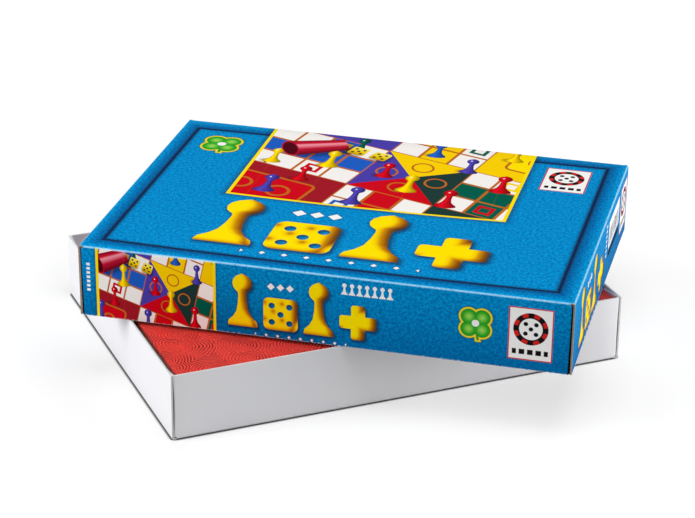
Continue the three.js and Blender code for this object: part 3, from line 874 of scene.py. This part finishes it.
def ringPaper():
    material, shader = newMaterial("redRingPaper", roughness=0.5, specular=0.3)
    art, place = ringArt, objectMm()
    wander = noise(place, art["wanderScale"], output="Color")
    wander = vectorCalc("SUBTRACT", wander, (0.5, 0.5, 0.5))
    wander = vectorCalc("SCALE", wander, Scale=art["wander"])
    flat = mapped(vectorCalc("ADD", place, wander), scale=(1, 1, 0))

    def ripples(size, spacing, shift=(0, 0, 0)):
        # rings about scattered middles, strongest on one side of each middle
        spot = mapped(flat, shift)
        inputs = dict(Vector=spot, Scale=1 / size, Randomness=art["scatter"])
        middles = nodeOf("TexVoronoi", inputs, voronoi_dimensions="2D").outputs
        wave = calc("PINGPONG", times(middles["Distance"], size), spacing / 2)
        way = vectorCalc("NORMALIZE", vectorCalc("SUBTRACT", spot, middles["Position"]))
        side = fade(vectorCalc("DOT_PRODUCT", way, art["lightFrom"]), -0.6, 0.4)
        strength = timesPlus(side, 0.4, 0.6)
        return (times(fade(wave, spacing * 0.36, spacing * 0.16), strength),
                fade(wave, spacing * 0.3, spacing * 0.48))

    uneven = fade(noise(place, 0.08), 0.36, 0.6)
    dark, pale = ripples(art["size"], art["spacing"])
    faint, _ = ripples(art["faintSize"], art["faintSpacing"], art["faintShift"])
    line = times(dark, timesPlus(uneven, 0.35, 0.42))
    line = most(line, times(faint, timesPlus(uneven, -0.3, 0.4)))
    cloud = noise(place, 0.02, detail=3)
    tooth = noise(place, 0.9, detail=4, roughness=0.8)
    colour = mix(cloud, inked(255, 74, 60), inked(244, 56, 52))
    colour = mix(times(pale, 0.4), colour, inked(252, 108, 90))
    colour = mix(times(fade(tooth, 0.42, 0.62), 0.45), colour, inked(216, 32, 38))
    colour = mix(line, colour, inked(104, 4, 12))
    surfaceOf(shader, colour, plus(times(line, -1.0), times(tooth, 0.35)), 0.6, 0.4)
    return material


def backPaper(*materials):
    size = boardSize
    bend, steps = size["hinge"], size["hingeSteps"]
    reach = bend * math.radians(90) / steps * mm
    length = size["high"][0] - size["low"][0] - 2 * bend
    run = size["high"][1] - size["low"][1] - 2 * bend
    front, seam = (size["low"][1] + bend) * mm, (size["high"][1] - bend) * mm
    left, right = (size["low"][0] + bend) * mm, (size["high"][0] - bend) * mm
    near = 1e-6
    deselectAll()
    bpy.ops.mesh.primitive_plane_add(size=1)
    paper = bpy.context.object
    paper.name = "boardBackPaper"
    paper.data.name = paper.name
    setMaterials(paper, *materials)
    editPiece(paper, "EDGE")
    bpy.ops.transform.resize(value=(length * mm, run * mm, 1))
    middle = ((left + right) / 2, (front + seam) / 2, size["top"] * mm)
    bpy.ops.transform.translate(value=middle)

    def draw(outward, downward):
        way = [a + b for a, b in zip(outward, downward)]
        bpy.ops.mesh.extrude_region_move(TRANSFORM_OT_translate={"value": way})

    def turnOf(step):
        return math.radians(90 * (step + 0.5) / steps)

    def bendOver(outward, down):
        # a quarter turn of the chosen edges, from the outward way to straight down
        for step in range(steps):
            turn = turnOf(step)
            draw([part * reach * math.cos(turn) for part in outward],
                 (0, 0, down * reach * math.sin(turn)))

    pick(paper, "edges", lambda edge: all(vert.co.y > seam - near for vert in edge.verts))
    bendOver((0, 1, 0), -1)
    draw((0, 0, 0), (0, 0, -(size["top"] - size["bottom"] - 2 * bend) * mm))
    for step in range(steps):
        draw((0, -reach * math.sin(turnOf(step)), 0), (0, 0, -reach * math.cos(turnOf(step))))
    draw((0, -run * mm, 0), (0, 0, 0))
    for share in (0.12, 0.25, 0.37, 0.5, 0.63, 0.75, 0.88):
        cutThrough((left + length * mm * share, 0, 0), (1, 0, 0))
    # turned in over the edges of both leaves, the corners cut away
    for height, down in ((size["top"] * mm, -1), (size["bottom"] * mm, 1)):
        for outward, edgeAt in (((0, -1, 0), front), ((-1, 0, 0), left), ((1, 0, 0), right)):
            axis = 1 if outward[1] else 0
            pick(paper, "edges", lambda edge: all(
                abs(vert.co[axis] - edgeAt) < near and abs(vert.co.z - height) < near
                for vert in edge.verts))
            bendOver(outward, down)
            draw((0, 0, 0), (0, 0, down * (size["turnIn"] - bend) * mm))
    faceOutwards()
    highest = max(paper.data.polygons, key=lambda polygon: polygon.center.z)
    if highest.normal.z < 0:
        paper.data.flip_normals()
    addModifier(paper, "SOLIDIFY", thickness=size["paper"] * mm, offset=-1, use_even_offset=True)
    addModifier(paper, "BEVEL", width=size["bevel"] * mm, segments=1, limit_method="ANGLE",
                angle_limit=math.radians(60))
    settle(paper)
    return paper


paper = backPaper(ringPaper())
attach(paper, "board")
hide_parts("board_back_paper")
print("board covered")


def playingFace():
    material, shader = newMaterial("playingFacePrint", roughness=0.35, specular=0.4)
    place = objectMm()
    colour = paintBoard(mapped(place, scale=(0.62, 0.62, 0)))
    tooth = noise(place, 1.5, detail=3)
    colour = mix(times(tooth, 0.12), colour, ink["ivory"])
    surfaceOf(shader, colour, tooth, 0.08, 0.2)
    return material


def leafletPaper():
    # two columns of ragged grey lines on off-white
    material, shader = newMaterial("leafletPaper", roughness=0.8, specular=0.25)
    place = objectMm()
    x, y, _ = apart(place)
    rule = fade(calc("PINGPONG", y, 1.9), 0.5, 0.3)
    column = less(away(minus(away(x), 24)), 20)
    ragged = greater(noise(mapped(place, scale=(0.35, 0.53, 0)), 1.0), 0.42)
    grey = times(times(rule, column), times(ragged, 0.5))
    tooth = noise(place, 1.2, detail=3)
    colour = mix(tooth, inked(238, 238, 234), inked(228, 227, 221))
    colour = mix(grey, colour, inked(120, 122, 130))
    surfaceOf(shader, colour, tooth, 0.1, 0.2)
    return material


greyBoard = cardMaterial("greyBoard", (150, 142, 130), (118, 110, 98), roughness=0.9, specular=0.2,
                         fibre=0.9, bump=0.4)
insertCard = cardMaterial("insertCard", (232, 229, 220), (214, 209, 197), roughness=0.78,
                          fibre=0.8, bump=0.2)
inside = dict(board_upper_leaf=greyBoard, board_lower_leaf=greyBoard,
              board_face_paper=playingFace(), insert=insertCard, rules_leaflet=leafletPaper())
for node, material in inside.items():
    setMaterials(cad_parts[node], material)
print("inside dressed")


# pawns, dice and cup

def moulded(name, colour, deep):
    # glossy injection-moulded plastic with faint flow marks
    material, shader = newMaterial(name, roughness=0.25, coat=0.3, coatRoughness=0.12)
    place = objectMm()
    flow = noise(mapped(place, scale=(1, 1, 0.35)), 0.25, detail=3, stretch=0.8)
    colour = mix(fade(flow, 0.3, 0.75), inked(*colour), inked(*deep))
    surfaceOf(shader, colour, noise(place, 0.8), 0.06, 0.2, timesPlus(flow, 0.16, 0.17))
    return material


def turnedShape(name, rings, segments):
    # a closed line of (radius, height) rings in mm, extruded and resized ring by ring
    firstRadius, firstHeight = rings[0]
    deselectAll()
    bpy.ops.mesh.primitive_circle_add(vertices=segments, radius=firstRadius * mm,
                                      fill_type="TRIFAN", location=(0, 0, firstHeight * mm))
    piece = bpy.context.object
    piece.name = name
    editPiece(piece, "EDGE")
    pick(piece, "edges", lambda edge: edge.is_boundary)
    for (radius, height), (nextRadius, nextHeight) in zip(rings, rings[1:]):
        rise = (0, 0, (nextHeight - height) * mm)
        bpy.ops.mesh.extrude_region_move(TRANSFORM_OT_translate={"value": rise})
        growth = nextRadius / radius
        bpy.ops.transform.resize(value=(growth, growth, 1), center_override=(0, 0, nextHeight * mm))
    bpy.ops.mesh.merge(type="CENTER")
    faceOutwards()
    return piece


pawnSize = dict(foot=7.5, height=25, skirt=2.2, shoulder=12.5, neck=2.3, head=4.1, hollow=5.4,
                hollowDeep=1.6, segments=28, skirtSteps=8, headSteps=10)


def pawnRings(size):
    foot, skirt, neck, head = (size[part] for part in ("foot", "skirt", "neck", "head"))
    shoulder, hollow, deep = (size[part] for part in ("shoulder", "hollow", "hollowDeep"))
    rings = [(hollow - 0.2, deep), (hollow, deep - 0.2), (hollow, 0.15),  # hollow under the foot
             (hollow + 0.15, 0), (foot - 0.6, 0), (foot - 0.17, 0.17), (foot, 0.6),
             (foot, skirt - 0.3), (foot - 0.25, skirt)]
    for step in range(1, size["skirtSteps"] + 1):
        angle = math.radians(90) * step / size["skirtSteps"]
        rings.append((neck + (foot - 0.4 - neck) * math.cos(angle) ** 1.15,
                      skirt + (shoulder - skirt) * math.sin(angle)))
    middle = size["height"] - head
    first = math.asin(neck / head)
    rings.append((neck * 0.98, (shoulder + middle - head * math.cos(first)) / 2))
    for step in range(size["headSteps"]):
        angle = first + (math.pi - first) * step / size["headSteps"]
        rings.append((head * math.sin(angle), middle - head * math.cos(angle)))
    rings.append((0.2, size["height"]))
    return rings


pawnStart = turnedShape("pawnPattern", pawnRings(pawnSize), pawnSize["segments"])
bodyFor = "pieces"
pawnPlastics = dict(red=moulded("redPlastic", (206, 10, 38), (186, 4, 30)),
                    blue=moulded("bluePlastic", (72, 62, 170), (58, 50, 150)),
                    yellow=moulded("yellowPlastic", (242, 202, 10), (230, 186, 0)),
                    green=moulded("greenPlastic", (12, 92, 74), (6, 76, 60)))
for colour, plastic in pawnPlastics.items():
    for place in range(1, 5):
        node = f"pawn_{colour}_{place}"
        low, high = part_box(node)
        pawn = copyOf(pawnStart, f"pawn{colour.title()}{place}")
        pawn.rotation_euler = (0, 0, math.radians(37 * place))
        pawn.location = ((low[0] + high[0]) / 2, (low[1] + high[1]) / 2, low[2])
        settle(pawn, angle=40)
        setMaterials(pawn, plastic)
        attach(pawn, bodyFor)
        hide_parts(node)
bpy.data.objects.remove(pawnStart)
print("pawns turned")

dieSize = dict(side=13, rounding=1.8, roundingSteps=5, pip=1.3, pipDeep=0.5, pitch=3.4)
pipLayouts = {1: [(0, 0)], 2: [(-1, -1), (1, 1)], 3: [(-1, -1), (0, 0), (1, 1)],
              4: [(-1, -1), (-1, 1), (1, -1), (1, 1)],
              5: [(-1, -1), (-1, 1), (0, 0), (1, -1), (1, 1)],
              6: [(-1, -1), (-1, 0), (-1, 1), (1, -1), (1, 0), (1, 1)]}
dieFaces = [(1, (0, 0, 0)), (6, (180, 0, 0)), (2, (90, 0, 0)), (5, (-90, 0, 0)),
            (3, (0, 90, 0)), (4, (0, -90, 0))]
diePlaces = {"die_1": ("dieOne", 0, 24), "die_2": ("dieTwo", 90, -15)}  # name, roll and turn


def dieShape(name, plastic, pipInk):
    side, pitch, pipDeep = (dieSize[part] * mm for part in ("side", "pitch", "pipDeep"))
    deselectAll()
    bpy.ops.mesh.primitive_cube_add(size=side)
    die = bpy.context.object
    die.name = name
    setMaterials(die, plastic, pipInk)
    editPiece(die, "EDGE")
    bpy.ops.mesh.select_all(action="SELECT")
    bpy.ops.mesh.bevel(offset=dieSize["rounding"] * mm, segments=dieSize["roundingSteps"],
                       profile=0.5, affect="EDGES")
    toObjectMode()
    ball = (dieSize["pip"] ** 2 + dieSize["pipDeep"] ** 2) / (2 * dieSize["pipDeep"]) * mm
    for count, turn in dieFaces:
        turned = [math.radians(part) for part in turn]
        for column, row in pipLayouts[count]:
            spot = Vector((column * pitch, row * pitch, side / 2 - pipDeep + ball))
            spot.rotate(Euler(turned))
            deselectAll()
            bpy.ops.mesh.primitive_ico_sphere_add(subdivisions=4, radius=ball, location=spot)
            cutter = bpy.context.object
            setMaterials(cutter, pipInk)
            addModifier(die, "BOOLEAN", object=cutter, operation="DIFFERENCE", solver="EXACT",
                        material_mode="TRANSFER")
            bpy.data.objects.remove(cutter)
    return die


pipInk, pipShader = newMaterial("pipInk", roughness=0.45)
feed(pipShader.inputs["Base Color"],
     mix(noise(objectMm(), 1.5), inked(26, 24, 28), inked(52, 48, 50)))
diePattern = dieShape("diePattern", moulded("dicePlastic", (243, 212, 40), (230, 192, 20)), pipInk)
for node, (name, roll, turn) in diePlaces.items():
    low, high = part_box(node)
    die = copyOf(diePattern, name)
    die.rotation_euler = (math.radians(roll), 0, math.radians(turn))
    die.location = [(a + b) / 2 for a, b in zip(low, high)]
    settle(die, angle=30)
    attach(die, bodyFor)
    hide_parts(node)
bpy.data.objects.remove(diePattern)
print("dice cut")

cupSize = dict(length=52, rim=16.8, taper=1.7, wall=1.7, floor=2.2, band=4, proud=0.6, segments=56)


def cupRings(size):
    rim, wall, floor, length = (size[part] for part in ("rim", "wall", "floor", "length"))
    foot, body = rim - size["taper"], rim - size["proud"]
    inner, bandAt = body - wall, length - size["band"]

    def slope(height):
        return foot + (body - foot) * height / bandAt

    rings = [(foot - 4, 0.5), (foot - 2.6, 0.5), (foot - 2.2, 0),  # from under the foot upwards
             (foot - 0.5, 0), (foot - 0.15, 0.15), (foot, 0.5)]
    rings += [(slope(height), height) for height in (6, 14, 24, 34, 42)]
    rings += [(slope(bandAt - 0.5), bandAt - 0.5), (body + 0.05, bandAt),  # band, lip and mouth
              (rim - 0.1, bandAt + 0.35), (rim, bandAt + 0.8), (rim, length - 1.6),
              (rim - 0.15, length - 0.5), (rim - 0.5, length - 0.1), (rim - 0.9, length),
              (inner + 0.5, length), (inner + 0.12, length - 0.15), (inner, length - 0.5)]
    rings += [(slope(height) - wall, height) for height in (40, 30, 20, 10, 4)]
    rings += [(foot - wall - 0.1, floor + 0.7), (foot - wall - 0.8, floor + 0.1),  # and down inside
              (foot - wall - 2, floor), (4, floor)]
    return rings


cup = turnedShape("diceCup", cupRings(cupSize), cupSize["segments"])
lean = math.atan2(cupSize["taper"], cupSize["length"] - 1)  # it lies on its side
cup.rotation_euler = (0, math.radians(-90) + lean, 0)
settle(cup, angle=40)
low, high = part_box("dice_cup")
reach = [[corner[axis] for corner in cup.bound_box] for axis in range(3)]
cup.location = [(a + b) / 2 - (min(ends) + max(ends)) / 2 for a, b, ends in zip(low, high, reach)]
settle(cup, angle=40)
setMaterials(cup, moulded("cupPlastic", (186, 18, 48), (160, 8, 36)))
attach(cup, bodyFor)
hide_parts("dice_cup")
print("cup turned")


# floor, light and camera

# dark is the painted shade of the crease under the walls
floorLook = dict(radius=9, segments=96, crease=0.0035, dark=(0.1, 0.1, 0.1, 1),
                 pale=(0.55, 0.55, 0.55, 1))
worldLevel = 0.29
softBoxes = dict(
    keyLeft=dict(towards=(-0.88, 0.14, 0.44), distance=2.4, size=1.7, level=0.78),
    overhead=dict(towards=(0.02, -0.14, 1), distance=2.2, size=1.6, level=0.37),
    nearRight=dict(towards=(0.8, -0.55, 0.16), distance=1.1, size=0.5, level=0.55))
photoView = dict(lens=119.85, sensor=36, place=(-0.57612, -1.40515, 0.75185),
                 turn=(1.13955, -0.01046, -0.38886))


def studioFloor():
    deselectAll()
    bpy.ops.mesh.primitive_circle_add(vertices=floorLook["segments"], radius=floorLook["radius"],
                                      fill_type="NGON", location=(0, 0, 0))
    floor = bpy.context.object
    floor.name = "studioFloor"
    material, shader = newMaterial("paleFloor", roughness=0.9, specular=0.0)
    # painted shade: the crease keeps the thin line under the card walls dark, in its colour and in
    # its glow
    crease = nodeOf("AmbientOcclusion", dict(Distance=floorLook["crease"])).outputs["AO"]
    freeOfCreaseShade = fade(crease, 0.5, 0.86)
    feed(shader.inputs["Base Color"], mix(freeOfCreaseShade, floorLook["dark"], floorLook["pale"]))
    # what the camera sees of it glows a little, more so far from the box
    place = nodeOf("TexCoord", {}).outputs["Object"]
    far = vectorCalc("LENGTH", place)
    x, _, _ = apart(place)
    level = timesPlus(fade(far, 0.26, 0.5), 0.05, 0.48)
    level = timesPlus(fade(far, 0.5, 1.8), 0.55, level)
    # painted light: the glow is a little stronger to the right of the box
    level = timesPlus(fade(x, 0.12, 0.2), 0.05, level)
    # painted shade: less glow beside the left wall
    shadeBesideLeftWall = times(fade(x, -0.12, -0.17), fade(far, 0.27, 0.2))
    level = timesPlus(shadeBesideLeftWall, -0.09, level)
    seen = nodeOf("LightPath", {}).outputs["Is Camera Ray"]
    glow = nodeOf("Emission", dict(Strength=times(seen, times(freeOfCreaseShade, level))))
    both = nodeOf("AddShader", {0: shader.outputs[0], 1: glow.outputs[0]})
    feed(material.node_tree.nodes["Material Output"].inputs["Surface"], both.outputs[0])
    setMaterials(floor, material)


def studioWorld(level):
    # an even light all round, with white for the camera beyond the floor
    world = bpy.data.worlds.new("studioWorld")
    bpy.context.scene.world = world
    world.use_nodes = True
    making["tree"] = world.node_tree
    light = world.node_tree.nodes["Background"]
    light.inputs["Color"].default_value = (1, 1, 1, 1)
    light.inputs["Strength"].default_value = level
    white = nodeOf("Background", dict(Color=(1, 1, 1, 1), Strength=1))
    seen = nodeOf("LightPath", {}).outputs["Is Camera Ray"]
    either = nodeOf("MixShader", {0: seen, 1: light.outputs[0], 2: white.outputs[0]})
    feed(world.node_tree.nodes["World Output"].inputs["Surface"], either.outputs[0])


def softBox(name, towards, distance, size, level):
    # level is the share of full white that it gives a surface facing it
    lamp = bpy.data.lights.new(name, "AREA")
    lamp.shape = "DISK"
    lamp.size = size
    lamp.energy = level * (math.pi * distance) ** 2
    box = bpy.data.objects.new(name, lamp)
    bpy.context.collection.objects.link(box)
    way = Vector(towards).normalized()
    box.location = way * distance + Vector((0, 0, 0.05))
    box.rotation_euler = way.to_track_quat("Z", "Y").to_euler()


studioFloor()
studioWorld(worldLevel)
for name, lamp in softBoxes.items():
    softBox(name, **lamp)

view = bpy.data.cameras.new("photoView")
view.lens = photoView["lens"]
view.sensor_width = photoView["sensor"]
camera = bpy.data.objects.new("photoView", view)
bpy.context.collection.objects.link(camera)
camera.location = photoView["place"]
camera.rotation_euler = photoView["turn"]
bpy.context.scene.camera = camera
bpy.context.scene.view_settings.view_transform = "Standard"
print("studio set")
